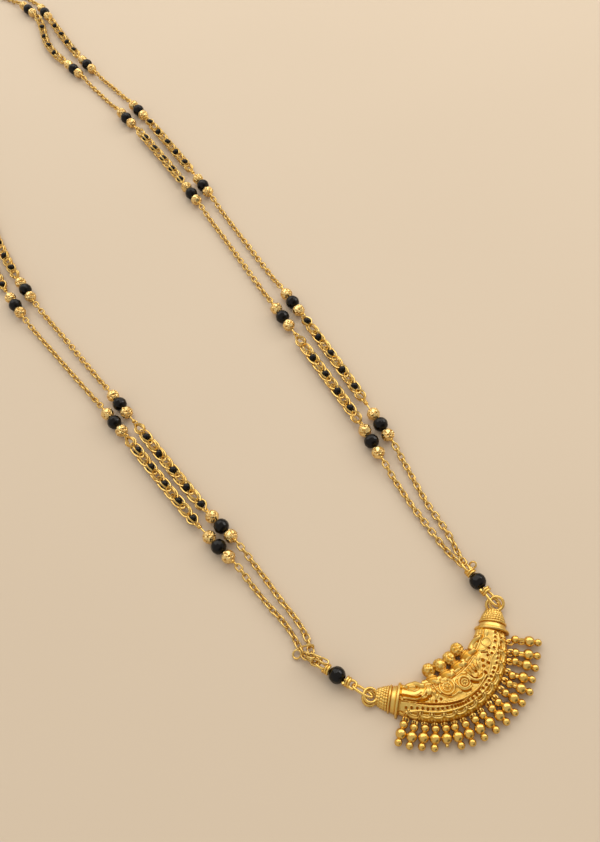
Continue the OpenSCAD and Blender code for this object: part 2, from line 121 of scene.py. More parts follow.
class Finish:
    """A surface finish, built up from nodes."""

    def __init__(self, name, **constants):
        self.material = bpy.data.materials.new(name)
        self.material.use_nodes = True
        self.shader = self.material.node_tree.nodes["Principled BSDF"]
        for socket, value in constants.items():
            self.shader.inputs[socket.replace("_", " ")].default_value = value
        self.place = self.node("TexCoord", {}, {}, "Object")

    def node(self, *what):
        return new_node(self.material.node_tree, *what)

    def cloud(self, scale, detail, **more):
        return self.node("TexNoise", {}, {"Vector": self.place, "Scale": scale, "Detail": detail, **more})

    def blend(self, mask, first, second):
        return self.node("Mix", {"data_type": "RGBA"}, {0: mask, 6: first, 7: second}, 2)

    def covers(self, **sockets):
        for name, value in sockets.items():
            join(self.shader.inputs[name.replace("_", " ")], value)
        return self.material


card = Finish("beige_card", Roughness=0.75)
card_grain = card.cloud(2600.0, 2.0)
card.covers(Base_Color=card.blend(card.cloud(9.0, 2.0), (0.623, 0.507, 0.373, 1), (0.663, 0.543, 0.402, 1)),
            Normal=card.node("Bump", {}, {"Strength": 0.05, "Distance": 0.0001, "Height": card_grain}))
bpy.ops.mesh.primitive_plane_add(size=4, location=(0, 0.3, -0.00002))
table = bpy.context.object
table.name = "table"
table.data.materials.append(card.material)


def soft_lamp(name, place, aim, size, power, tint):
    light = bpy.data.lights.new(name, "AREA")
    light.shape, light.size, light.energy, light.color = "SQUARE", size, power, tint
    lamp = placed(name, light)
    lamp.location = place
    lamp.rotation_euler = (Vector(aim) - Vector(place)).to_track_quat("-Z", "Y").to_euler()


soft_lamp("side_lamp", (0.55, 0.38, 0.62), (0.0, 0.06, 0.0), 0.70, 2.4, (1.0, 0.965, 0.92))
soft_lamp("back_lamp", (0.05, 0.85, 0.75), (0.0, 0.20, 0.0), 1.00, 4.7, (1.0, 0.98, 0.95))
soft_lamp("window_lamp", (0.72, 0.05, 0.36), (0.0, 0.05, 0.0), 0.28, 0.9, (1.0, 0.98, 0.95))

room = bpy.data.worlds.new("room")
room.use_nodes = True
bpy.context.scene.world = room
sky = room.node_tree
sky_direction = new_node(sky, "TexCoord", {}, {}, "Generated")
across, ahead, height = (new_node(sky, "SeparateXYZ", {}, {0: sky_direction}, part) for part in "XYZ")
toward_patch = across * 0.06 - ahead * 0.96 + height * 0.26
brightness = 0.68 - ((toward_patch - 0.80) * 8.0).clamped() * 0.53
backdrop = sky.nodes["Background"]
backdrop.inputs["Color"].default_value = (1.0, 0.955, 0.90, 1)
join(backdrop.inputs["Strength"], brightness)


# ---- Crescent pendant, body
# A hollow cast crescent of high-carat gold with a flat back and a swelling front. Its front is
# chased in low relief: a wave rim, a field of rosettes and leaves, a row of punched dots between
# ridges, and scallops over the steep outer slope.
def gold(name, bright, deep, roughness, mottle, grain, dent, shade_in_hollows=False):
    """Yellow gold, warmer in patches of the size mottle, with fine dents of the size grain, and if asked,
    darker with painted shade in recesses, as stored on the mesh's points.
    """
    finish = Finish(name, Metallic=1.0)
    patches = finish.cloud(1 / (mottle * mm), 3.0, Roughness=0.6)
    dents = finish.cloud(1 / (grain * mm), 2.0)
    tone_and_painted_shade = (patches * 1.6 - 0.62).clamped()
    # painted shade in recesses, read from a value stored on each point
    if shade_in_hollows:
        hollow = finish.node("Attribute", {"attribute_name": "hollow"}, {}, "Fac")
        tone_and_painted_shade = (tone_and_painted_shade * 0.45 + hollow).clamped()
    return finish.covers(
        Base_Color=finish.blend(tone_and_painted_shade, bright, deep),
        Roughness=(roughness + tone_and_painted_shade * 0.12 + dents * 0.06).clamped(),
        Normal=finish.node("Bump", {}, {"Strength": 0.55, "Distance": dent * mm, "Height": dents}))


pendant_gold = gold("pendant_gold", (0.785, 0.545, 0.155, 1), (0.63, 0.275, 0.005, 1),
                    0.34, 1.1, 0.3, 0.035, shade_in_hollows=True)

# the outer and the inner edge are arcs; each slope has a width and a fall, up to the crest
edge_middle, inner_middle = np.array((0.0, 11.0)), np.array((0.0, 18.2))
edge_r, inner_r, crest = 15.0, 13.8, 3.3
edge_fall, inner_fall = (3.2, 2.4), (2.6, 2.3)
cap_x, cap_y = 11.65, 6.1
eye_x, eye_y = 16, 10


def front_height(x, y):
    """Height of the plain front over a place, from the rounded slopes of both edges."""
    heights = []
    for middle, inside, (width, fall) in ((edge_middle, lambda r: edge_r - r, edge_fall),
                                          (inner_middle, lambda r: r - inner_r, inner_fall)):
        radius = (width ** 2 + fall ** 2) / (2 * fall)
        short = np.clip(width - inside(np.hypot(x - middle[0], y - middle[1])), 0, width)
        heights.append(crest - radius + np.sqrt(radius ** 2 - short ** 2))
    return np.minimum(*heights)


# the mesh is laid out in columns that fan out from a corner, with rows evenly over the swell
along = np.radians(np.linspace(-45, 45, 440))
rows_across = 132
corner = np.array((0.0, 18.45))
past_inner, past_edge = corner[1] - inner_middle[1], corner[1] - edge_middle[1]
near = past_inner * np.cos(along) + np.sqrt(inner_r ** 2 - (past_inner * np.sin(along)) ** 2)
far = past_edge * np.cos(along) + np.sqrt(edge_r ** 2 - (past_edge * np.sin(along)) ** 2)
plan_x, plan_y = np.zeros((2, len(along), rows_across))
for column, turn in enumerate(along):
    reach = np.linspace(near[column], far[column], 600)
    x, y = corner[0] + reach * sin(turn), corner[1] - reach * cos(turn)
    length = np.concatenate(([0], np.cumsum(np.hypot(np.diff(reach), np.diff(front_height(x, y))))))
    even = np.interp(np.linspace(0, length[-1], rows_across), length, reach)
    plan_x[column], plan_y[column] = corner[0] + even * sin(turn), corner[1] - even * cos(turn)
plain = np.dstack((plan_x, plan_y, front_height(plan_x, plan_y)))
lean = np.cross(np.gradient(plain, axis=0), np.gradient(plain, axis=1))
lean /= np.linalg.norm(lean, axis=2, keepdims=True)
lean[lean[..., 2] < 0] *= -1

raised, cut = np.zeros_like(plan_x), np.zeros_like(plan_x)


def spread(points, half):
    """How far each place lies from a line of points: 0 on it, 1 at half a width from it or more."""
    share = np.ones_like(plan_x)
    for (ax, ay), (bx, by) in zip(points[:-1], points[1:]):
        reach = half + 0.01
        box = ((plan_x > min(ax, bx) - reach) & (plan_x < max(ax, bx) + reach)
               & (plan_y > min(ay, by) - reach) & (plan_y < max(ay, by) + reach))
        x, y = plan_x[box], plan_y[box]
        size = max((bx - ax) ** 2 + (by - ay) ** 2, 1e-9)
        t = np.clip(((x - ax) * (bx - ax) + (y - ay) * (by - ay)) / size, 0, 1)
        off = np.hypot(x - ax - t * (bx - ax), y - ay - t * (by - ay)) / half
        share[box] = np.minimum(share[box], off)
    return share


def ridge(points, half, height):
    raised[:] = np.maximum(raised, height * np.sqrt(1 - spread(points, half) ** 2))


def groove(points, half, tone_and_painted_shade):
    cut[:] = np.maximum(cut, tone_and_painted_shade * np.sqrt(1 - spread(points, half) ** 2))


def polar(middle, radius, angle):
    """A place round a middle, with 0 degrees towards the drops and positive angles to the right."""
    a = radians(angle)
    return middle[0] + radius * sin(a), middle[1] - radius * cos(a)


def bow(middle, radius, start, end):
    angles = np.linspace(start, end, max(4, int(abs(end - start) * radius / 12)))
    return [polar(middle, radius, a) for a in angles]


def curl(points, steps=5):
    """A smooth line through a few points, with so many steps from each to the next."""
    line = []
    for i in range(len(points) - 1):
        a, b, c, d = (np.array(points[min(max(i + k, 0), len(points) - 1)], float)
                      for k in (-1, 0, 1, 2))
        for t in np.linspace(0, 1, steps + 1)[:-1]:
            line.append(tuple(0.5 * (2 * b + (c - a) * t + (2 * a - 5 * b + 4 * c - d) * t * t
                                     + (3 * b - a - 3 * c + d) * t ** 3)))
    return line + [tuple(points[-1])]


def run_of(line):
    """Distance along a line at each of its points."""
    return np.concatenate(([0], np.cumsum([dist(a, b) for a, b in zip(line[:-1], line[1:])])))


def circle(x, y, radius):
    return bow((x, y), radius, 0, 360)


def dot(x, y):
    return [(x, y), (x + 0.01, y)]


def leaf(x, y, turn, length, width, height=0.42):
    """A pointed leaf with a vein along its middle."""
    c, s = cos(radians(turn)), sin(radians(turn))
    u = ((plan_x - x) * c + (plan_y - y) * s) / (length / 2)
    v = ((plan_y - y) * c - (plan_x - x) * s) / (width / 2)
    inside = np.clip(1 - np.abs(u) ** 1.7 - np.abs(v) ** 1.6, 0, 1)
    vein = 1 - 0.4 * np.exp(-(v / 0.2) ** 2)
    raised[:] = np.maximum(raised, height * np.sqrt(inside) * vein)


def rosette(x, y, radius):
    ridge(circle(x, y, radius), 0.23, 0.46)
    ridge(circle(x, y, radius * 0.56), 0.15, 0.30)
    ridge(dot(x, y), 0.3, 0.42)
    for k in range(7):
        a = radians(k * 360 / 7 + 20)
        ridge(dot(x + radius * 0.36 * cos(a), y + radius * 0.36 * sin(a)), 0.13, 0.26)


# wave rim along the inner edge, over a double line
for k in range(8):
    a = -44.5 + 12.8 * k
    for half, height, wave in (
            (0.36, 0.95, ((14, -7.6), (13.9, -5), (13.98, -2.2), (14.22, 0.6), (14.6, 3), (14.72, 5))),
            (0.2, 0.5, ((14.4, -5.6), (14.42, -3.6), (14.56, -1.6)))):
        ridge(curl([polar(inner_middle, r, a + t) for r, t in wave]), half, height)
for radius, half in ((14.74, 0.12), (15.1, 0.10)):
    groove(bow(inner_middle, radius, -21, 21), half, 0.2)
    ridge(bow(inner_middle, radius + 0.18, -21, 20), 0.14, 0.22)
ridge(curl([(6, 4.6), (7.2, 5.2), (8.1, 5.75), (8.9, 6.3), (9.8, 7.1)]), 0.17, 0.26)
ridge(curl([(6.3, 5.4), (7.3, 6.2), (8.4, 6.8)]), 0.3, 0.32)

# flowers and leaves of the field, from left to right
ridge(curl([(-11, 7.5), (-10.3, 6.3), (-9.4, 5.2), (-8.4, 4.75), (-7.2, 4.85), (-6.3, 5.1)]), 0.95, 0.22)
groove(curl([(-11.3, 6.75), (-10.5, 5.75), (-9.5, 4.8), (-8.5, 4.4), (-7.6, 4.42)]), 0.1, 0.22)
groove(curl([(-10.6, 7.75), (-9.9, 6.75), (-9.1, 5.75), (-8.3, 5.25), (-7.3, 5.3)]), 0.1, 0.22)
groove(curl([(-11.6, 6.3), (-10.9, 6.05), (-9.9, 5.05), (-9.1, 4.3), (-8.2, 3.95)]), 0.26, 0.62)
ridge(curl([(-11, 5.6), (-10, 4.75), (-9.3, 4.05), (-8.3, 3.72), (-7.3, 3.85), (-6.6, 4.2)]), 0.24, 0.5)
groove(curl([(-11.2, 5.15), (-10.2, 4.25), (-9.2, 3.5), (-8.2, 3.05), (-7.4, 2.75)]), 0.28, 0.55)
leaf(-6.1, 3.95, 55, 2.2, 1.35, 0.55)
leaf(-7.6, 3.3, -12, 1.1, 0.6, 0.5)
groove(curl([(-7, 3), (-6.5, 2.85)]), 0.24, 0.5)
leaf(-5.55, 3.05, 70, 1.3, 0.85, 0.5)
leaf(-5.6, 2.2, 30, 1.1, 0.7, 0.46)
leaf(-6.9, 2.25, 25, 0.8, 0.6, 0.42)
ridge(curl([(-4.83, 4.2), (-4.85, 3.2), (-4.65, 2.2), (-4.25, 1.4), (-3.5, 0.75), (-2.6, 0.42),
            (-1.6, 0.5)]), 0.2, 0.42)
groove(curl([(-4.5, 2), (-4, 1.25), (-3.3, 0.72)]), 0.14, 0.34)
leaf(-3.9, 0.2, -28, 2.2, 0.7, 0.36)
rosette(-2.9, 2.45, 1.42)
ridge(curl([(-0.9, 3), (-1.15, 2.1), (-0.95, 1), (-0.55, 0.2), (0.3, -0.2), (1.2, -0.15)]), 0.17, 0.34)
leaf(-0.75, 2.75, 40, 1.3, 0.6, 0.36)
leaf(-1.5, 0.35, -20, 1.5, 0.6, 0.36)
groove(curl([(-1, 0.2), (-0.4, -0.35), (0.6, -0.6)]), 0.16, 0.4)
rosette(0.42, 1.2, 1.12)
leaf(1.35, 2.7, -35, 1.2, 0.5, 0.36)
for x, turn, length in ((2.2, 100, 1.7), (2.85, 95, 1.9), (3.5, 90, 2), (4.15, 84, 1.9), (4.75, 76, 1.7)):
    leaf(x, 2.45 - 0.12 * abs(x - 3.5), turn, length, 0.58, 0.5)
ridge(curl([(1.75, 1.9), (1.95, 1), (2.6, 0.2), (3.5, -0.12), (4.3, 0.15), (4.85, 0.9)]), 0.3, 0.52)
groove(curl([(2.25, 1.3), (2.45, 0.75), (2.95, 0.4)]), 0.17, 0.5)
leaf(3.6, 0.75, 10, 1.5, 0.55, 0.44)
groove(curl([(1.55, 0.6), (1.9, 0.1), (2.5, -0.35)]), 0.22, 0.5)
leaf(5.6, 3.35, 40, 2.1, 0.75, 0.4)
leaf(7.15, 4.1, -28, 1.6, 0.5, 0.34)
groove([(6.75, 3.8), (7.65, 3.2)], 0.13, 0.5)
ridge(curl([(5.7, 0.8), (6.4, 1.75), (7.3, 2.35), (8.1, 3.3), (8.6, 4)]), 0.16, 0.32)
ridge(circle(8.9, 4.85, 0.85), 0.14, 0.24)
leaf(10.1, 6.3, 42, 1.8, 0.9, 0.34)
for x, y, half in ((3.5, 1.6, 0.3), (6, 2.44, 0.36), (5.4, 1.5, 0.34), (6.5, 1.44, 0.32),
                   (4.83, 0.33, 0.36), (7.4, 2.67, 0.26), (-6.25, 1.55, 0.26), (-5.3, 1.3, 0.3),
                   (-6.85, 3, 0.25), (8.5, 3.6, 0.25)):
    groove(dot(x, y), half, 0.55)

# row of punched dots between ridges
groove(curl([(-12.3, 6), (-11.35, 5.15), (-8.85, 2.85), (-7.2, 1.45), (-4.95, 0), (-3.4, -0.75),
             (-1.7, -1.3), (0, -1.5), (1.7, -1.4), (3.4, -0.95), (4.6, -0.5)]), 0.17, 0.42)
ridge(curl([(-12.6, 6.3), (-11.7, 5.55), (-9.06, 3.2), (-7.4, 1.8), (-5.06, 0.33), (-3.5, -0.45),
            (-1.7, -1), (0, -1.18), (1.7, -1.1), (3.4, -0.65), (4.7, -0.15)]), 0.17, 0.36)
ridge(curl([(5, -0.3), (6.3, 0.6), (7.6, 1.75), (9.2, 2.35), (10.6, 3.4), (11.9, 4.9)]), 0.16, 0.3)
ridge(bow(edge_middle, 12.45, -62, 23), 0.13, 0.28)
ridge(bow(edge_middle, 13.28, -47, 62), 0.15, 0.4)
groove(bow(edge_middle, 13.5, -47, 62), 0.1, 0.2)
ridge(curl([(-9.71, 1.94), (-10.4, 2.35), (-11.2, 2.85), (-12.1, 3.45)]), 0.15, 0.4)
for x, y in ((-11.7, 3.95), (-10.85, 3.3), (-10, 2.6), (-9.2, 1.95), (-8.45, 1.3), (-7.65, 0.75),
             (-6.85, 0.25), (-6.1, -0.2), (-5.3, -0.6), (-4.45, -0.95), (-3.85, -1.25), (-3.3, -1.45),
             (-2.8, -1.6), (-2.3, -1.72), (-1.75, -1.82), (-1.15, -1.88), (-0.2, -2), (0.8, -1.95),
             (1.67, -1.86), (2.67, -1.68), (3.55, -1.48), (4.5, -1.2), (5.35, -0.8), (6.2, -0.42),
             (6.9, 0.1), (7.9, 0.55), (8.67, 1.15), (9.4, 1.85), (10.2, 2.5), (11, 3.15), (11.8, 3.8),
             (12.5, 4.6), (11.6, 5.3), (11, 4.6), (10.4, 3.95), (9.4, 3.1), (8.3, 2.5)):
    ridge(dot(x, y), 0.46, 0.1)
    groove(dot(x, y), 0.26, 0.6)

# scallops over the outer slope
for k in range(14):
    a = -61.5 + 9.5 * k
    out = 0.05 * max(0, -44 - a)
    for outer, swing, half, height in ((14.22, 4.5, 0.17, 0.46), (13.92, 3.1, 0.12, 0.3)):
        between = (13.4 + outer) / 2 + 0.12
        ridge(curl([polar(edge_middle, r + out, a + t) for r, t in
                    ((13.4, -swing), (between, -swing * 0.9), (outer - 0.05, -swing * 0.42),
                     (outer - 0.05, swing * 0.42), (between, swing * 0.9), (13.4, swing))]), half, height)
    groove(bow(edge_middle, 13.66 + out, a - 1.6, a + 1.6), 0.13, 0.2)
    for t in (-2.4, 0, 2.4):
        ridge(bow(edge_middle, 14.62, a + 4.75 + t, a + 5.15 + t), 0.24, 0.3)
for radius, half, height in ((14.5, 0.12, 0.12), (14.75, 0.1, 0.1), (14.95, 0.1, 0.16)):
    ridge(bow(edge_middle, radius, -64, 64), half, height)

# small grains that fill the ground of the field
seeds = random.Random(11)
for _ in range(150):
    a, r = seeds.uniform(-50, 50), seeds.uniform(15.45, 20.3)
    x, y = polar(inner_middle, r, a)
    if hypot(x, y - edge_middle[1]) > 11.85:
        continue
    nearest = np.argmin((plan_x - x) ** 2 + (plan_y - y) ** 2)
    if raised.flat[nearest] < 0.1 and cut.flat[nearest] < 0.05:
        ridge(dot(x, y), seeds.uniform(0.15, 0.24), seeds.uniform(0.14, 0.26))

# painted shade: a place that lies below the blurred relief round it is a recess, and the gold there turns
# darker with painted shade, the more so the lower it lies
relief = 0.9 * (raised - cut) + 0.03 * np.array(
    [[noise.noise(Vector((x, y, 1)) * 1.4) for x, y in zip(*line)] for line in zip(plan_x, plan_y)])
blurred = relief.copy()
for axis in (0, 1):
    for _ in range(3):
        blurred = (np.roll(blurred, 3, axis) + np.roll(blurred, -3, axis) + blurred) / 3
hollow = np.clip((blurred - relief) * 3.1 + 0.02, 0, 0.95)
ground_r, ground_inner = (np.hypot(plan_x, plan_y - middle[1]) for middle in (edge_middle, inner_middle))
# painted shade over the plain ground near the outer edge, and more over the outer slope
hollow[(ground_r > 13.62) & (raised < 0.2) & (plan_x > -10)] += 0.3
hollow[ground_r > 14.4] += 0.3
# a painted shadow line on the body at the foot of each cap, where the body is also pressed down
from_cap = (np.abs(plan_x) - cap_x + plan_y - cap_y) / sqrt(2)
hollow[from_cap > -0.32] += 0.7
relief[from_cap > -0.28] -= 0.3
relief *= np.where(ground_inner < 14.9, np.clip(-from_cap / 2.6, 0.35, 1), 1)
hollow = np.clip(hollow, 0, 1)
front = plain + lean * (relief * np.clip((edge_r + 0.1 - ground_r) * 3, 0.2, 1))[..., None]

inner_foot, outer_foot = front[:, 0].copy(), front[:, -1].copy()
inner_foot[:, 2] = outer_foot[:, 2] = 0
sheet = np.concatenate((inner_foot[:, None], front, outer_foot[:, None]), axis=1)
# the inner and the outer side get painted shade
hollow = np.concatenate((np.full((len(along), 1), 0.2), hollow, np.full((len(along), 1), 0.5)), axis=1)
columns, rows = sheet.shape[:2]
index = np.arange(columns * rows).reshape(columns, rows)
quads = np.stack((index[:-1, :-1], index[1:, :-1], index[1:, 1:], index[:-1, 1:]), axis=-1).reshape(-1, 4)
back = [(index[c, 0], index[c, -1], index[c + 1, -1], index[c + 1, 0]) for c in range(columns - 1)]
ends = [tuple(index[0, ::-1]), tuple(index[-1])]
shape = bpy.data.meshes.new("crescent_body")
shape.from_pydata((sheet.reshape(-1, 3) * mm).tolist(), [], quads.tolist() + back + ends)


def mark_painted_shade(mesh, shade):
    """Stores how much painted shade each point of a mesh gets, for the golds that paint shade into their
    recesses.
    """
    mesh.attributes.new("hollow", "FLOAT", "POINT").data.foreach_set("value", shade)


def select(*pieces):
    """Selects these pieces alone and makes the first one active."""
    bpy.ops.object.select_all(action="DESELECT")
    for piece in pieces:
        piece.select_set(True)
    bpy.context.view_layer.objects.active = pieces[0]


def work_on(piece, *steps):
    """Works on a whole piece in edit mode; each step is a tool and its settings."""
    select(piece)
    bpy.ops.object.mode_set(mode="EDIT")
    for tool, settings in steps:
        bpy.ops.mesh.select_all(action="SELECT")
        tool(**settings)
    bpy.ops.object.mode_set(mode="OBJECT")


def finish_piece(piece, material, node, angle=40):
    """Smooths a piece's facets, gives it its metal and sets it on the frame in place of its CAD node."""
    work_on(piece, (bpy.ops.mesh.normals_make_consistent, {"inside": False}))
    bpy.ops.object.shade_smooth_by_angle(angle=radians(angle))
    piece.data.materials.clear()
    piece.data.materials.append(material)
    piece.select_set(False)
    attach(piece, "root")
    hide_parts(node)


mark_painted_shade(shape, hollow.reshape(-1))
finish_piece(placed("crescent_body", shape), pendant_gold, "crescent", angle=60)


# ---- Caps on the horns of the crescent
# Each horn ends in a turned cap: a wide bright flange that stands over the body, a groove, a thin
# ridge and a rounded tip covered in fine granulation, flat at the back like the body.
def turned(name, outline, foot, axis, steps):
    """Spins an outline of (distance along the axis, radius) in mm about an axis that starts at foot."""
    axis = Vector(axis).normalized()
    side = axis.orthogonal().normalized()
    mesh = bpy.data.meshes.new(name)
    mesh.from_pydata([(Vector(foot) + axis * a + side * r) * mm for a, r in outline],
                     [(i, i + 1) for i in range(len(outline) - 1)], [])
    piece = placed(name, mesh)
    turn = {"steps": steps, "angle": 2 * pi, "center": Vector(foot) * mm, "axis": axis}
    work_on(piece, (bpy.ops.mesh.spin, turn), (bpy.ops.mesh.remove_doubles, {"threshold": 1e-6}),
            (bpy.ops.mesh.normals_make_consistent, {"inside": False}))
    return piece


tip_start, grain_row = 2.3, 0.54
tip_outline = [(tip_start + 1.9 * t, 2.42 - 0.68 * t ** 1.3) for t in np.linspace(0, 1, 19)]
tip_outline += [(4.2 + 0.42 * sin(t), 1.32 + 0.42 * cos(t)) for t in np.linspace(0.3, pi / 2, 6)]
tip_outline += [(4.62, r) for r in np.linspace(1.2, 0, 11)]
tip_run = run_of(tip_outline)
cap_outline = [(-0.5, 0), (-0.5, 2.7), (-0.02, 2.75), (0.02, 3.2), (0.08, 3.4), (0.2, 3.5), (0.36, 3.52),
               (0.52, 3.46), (0.62, 3.3), (0.68, 3.04), (0.74, 2.82), (1, 2.76), (1.3, 2.7), (1.58, 2.62),
               (1.66, 2.54), (1.72, 2.46), (1.76, 2.56), (1.8, 2.72), (1.9, 2.82), (2.06, 2.82), (2.16, 2.72),
               (2.22, 2.52), (2.29, 2.42)] + tip_outline
for side, name in ((1, "right_cap"), (-1, "left_cap")):
    foot = Vector((cap_x * side, cap_y, 0))
    axis = Vector((side, 1, 0)).normalized()
    across_axis = Vector((0, 0, 1)).cross(axis)
    cap = turned(name, cap_outline, foot, axis, 132)
    shade = []
    for point in cap.data.vertices:
        place = point.co / mm
        from_foot = (place - foot).dot(axis)
        away = place - foot - axis * from_foot
        if from_foot < tip_start:
            # painted shade in the grooves of the cap
            in_groove = any(low < from_foot < high for low, high in
                            ((-0.1, 0.04), (0.66, 0.78), (1.64, 1.78), (2.2, tip_start)))
            shade.append(0.7 if in_groove else 0)
            continue
        nearest = min(range(len(tip_outline)), key=lambda k: dist(tip_outline[k], (from_foot, away.length)))
        row = int(tip_run[nearest] / grain_row)
        middle = np.interp((row + 0.5) * grain_row, tip_run, [r for _, r in tip_outline])
        grains = max(3, round(2 * pi * middle / 0.6))
        around = atan2(away.z, away.dot(across_axis)) / (2 * pi) * grains + 0.37 * row ** 2
        off = hypot(tip_run[nearest] - (row + 0.5) * grain_row,
                    (around % 1 - 0.5) * 2 * pi * middle / grains)
        dome = sqrt(max(0, 1 - (off / 0.32) ** 2))
        outward = axis
        if away.length > 0.05:
            outward = (away.normalized() * 0.9 + axis * (from_foot - tip_start) / 2.3).normalized()
        point.co += outward * (0.24 * dome - 0.08) * mm
        # painted shade between the grains
        shade.append(0.6 * (1 - dome) ** 1.5)
    mark_painted_shade(cap.data, shade)
    work_on(cap, (bpy.ops.mesh.bisect, {"plane_co": (0, 0, 0), "plane_no": (0, 0, 1), "use_fill": True,
                                        "clear_inner": True, "threshold": 1e-7}))
    finish_piece(cap, pendant_gold, "crescent", angle=50)


# ---- Eyes of the pendant
# At each horn a round wire is wound twice into a ring and soldered on. The ring lies almost flat and
# carries the link wire.
wire_gold = gold("wire_gold", (0.82, 0.56, 0.16, 1), (0.62, 0.30, 0.03, 1), 0.17, 1.1, 0.3, 0.02)


def bent_wire(name, runs, thickness, sides=10):
    """Wires bent along lines of points in mm; a run is (points, whether it closes on itself)."""
    curve = bpy.data.curves.new(name, "CURVE")
    curve.dimensions = "3D"
    curve.bevel_depth = thickness / 2 * mm
    curve.bevel_resolution = (sides - 4) // 2
    curve.use_fill_caps = True
    for points, closed in runs:
        spline = curve.splines.new("POLY")
        spline.points.add(len(points) - 1)
        for target, point in zip(spline.points, points):
            target.co = (*(value * mm for value in point), 1)
        spline.use_cyclic_u = closed
    select(placed(name, curve))
    bpy.ops.object.convert(target="MESH")
    wire = bpy.context.object
    work_on(wire, (bpy.ops.mesh.remove_doubles, {"threshold": 1e-7}))
    return wire


def rolled(points, roll):
    c, s = cos(radians(roll)), sin(radians(roll))
    return [(x, y * c, y * s) for x, y in points]


def turn_by(angle, axis="X"):
    return Matrix.Rotation(radians(angle), 4, axis)


def hoop(radius, count):
    return [(radius * cos(a), radius * sin(a)) for a in np.arange(count) * 2 * pi / count]


def oval(start, end, half, count=22):
    """A closed loop in the XY plane, with round ends."""
    middle, reach = (start + end) / 2, (end - start) / 2
    return [(middle + reach * copysign(abs(c) ** 0.85, c), half * copysign(abs(s) ** 0.85, s))
            for c, s in hoop(1, count)]


for side, name, second_turn in ((1, "right_eye", (-0.55, 0.2, -0.3)),
                                (-1, "left_eye", (-0.36, -0.26, -0.34))):
    tilt = turn_by(45, "Z") @ turn_by(-20, "Y")
    turns = []
    for shift in ((0.12, 0, 0.22), second_turn):
        ring = [tilt @ Vector((x, y, 0)) for x, y in hoop(1.36, 36)]
        turns.append(([(side * (eye_x + p.x) + shift[0], eye_y + p.y + shift[1], 1.25 + p.z + shift[2])
                       for p in ring], True))
    finish_piece(bent_wire(name, turns, 0.62, 12), wire_gold, "crescent")


# ---- Balls on the inner edge
# Four granulated balls stand on short collared necks along the inner edge of the crescent.
def arc(middle, radius, start, end, count=9):
    """Part of a ball's outline for turning, from its near end at 0 degrees to its far end at 180."""
    return [(middle - radius * cos(radians(a)), radius * sin(radians(a)))
            for a in np.linspace(start, end, count)]


def studded_ball(name, middle, axis, radius):
    """A ball on a collared neck, pitted all over like filigree, with painted shade in its pits and on its
    neck.
    """
    outline = [(3, 0), (3, 1.36), (2.2, 1.38), (2.02, 1.4), (1.86, 1.38), (1.74, 1.28), (1.68, 1.14),
               (1.58, 1.2), (1.42, 1.16), (1.3, 1), (1.2, 0.8)]
    outline += arc(0, radius, 144, 0, 19)
    outline[-1] = (-radius, 0)
    ball = turned(name, outline, middle, axis, 48)
    shade = []
    for point in ball.data.vertices:
        out = point.co / mm - Vector(middle)
        pit = 0.0
        if 0.9 * radius < out.length < 1.1 * radius:
            cell = noise.voronoi(out * 2.1 + Vector((len(name) + middle[0], 3, 7)))[0][0]
            pit = max(0, 1 - cell / 0.6)
            point.co += out.normalized() * mm * (0.1 - 0.42 * pit)
        elif out.length > 1.1 * radius:
            # painted shade on the neck
            pit = 0.42  # the neck
        shade.append(min(1, pit * 1.4))
    mark_painted_shade(ball.data, shade)
    return ball


for k, angle in enumerate((-18, -6, 6, 18)):
    x, y = polar(inner_middle, 11.5, angle)
    outward = Vector((sin(radians(angle)), -cos(radians(angle)), 0))
    ball = studded_ball(f"inner_ball_{k + 1}", (x, y, 1.46), outward, 1.32)
    finish_piece(ball, pendant_gold, "crescent", angle=70)


# ---- Fringe
# Seventeen drops hang along the outer edge. Each is a stem of three small cut balls with collars
# between them and a wire ring, which hangs in a soldered eyelet.
drop_gold = gold("drop_gold", (0.77, 0.515, 0.14, 1), (0.66, 0.30, 0.01, 1), 0.19, 1.2, 0.25, 0.02)


def cut_flat(piece, cuts, middle=(0, 0, 0), reach=(0, 9), share=1):
    """Presses flats on the points within reach of a middle; a cut is (outward, distance), in mm."""
    for point in piece.data.vertices:
        if reach[0] <= (point.co / mm - Vector(middle)).length < reach[1]:
            for outward, distance in cuts:
                over = (point.co / mm - Vector(middle)).dot(outward) - distance
                if over > 0:
                    point.co -= outward * over * share * mm


drop_balls = ((16.42, 0.86), (18.2, 1.1), (19.88, 0.77))
collar_1, collar_2 = 17.17, 19.24
drop_outline = (arc(*drop_balls[0], 0, 150) + [(collar_1, 0.42)] + arc(*drop_balls[1], 26, 158)
                + [(collar_2, 0.42)] + arc(*drop_balls[2], 34, 180))
drop_outline[0], drop_outline[-1] = (15.56, 0), (20.65, 0)
model_drop = turned("model_drop", drop_outline, (0, 0, 0), (1, 0, 0), 22)
for middle, radius in drop_balls:
    flats = [Vector((0.25 if k % 2 else -0.3, cos(a), sin(a))).normalized()
             for k, a in enumerate(np.radians(range(15, 375, 60)))]
    cut_flat(model_drop, [(outward, radius * 0.965) for outward in flats], (middle, 0, 0), (0, radius * 1.05))
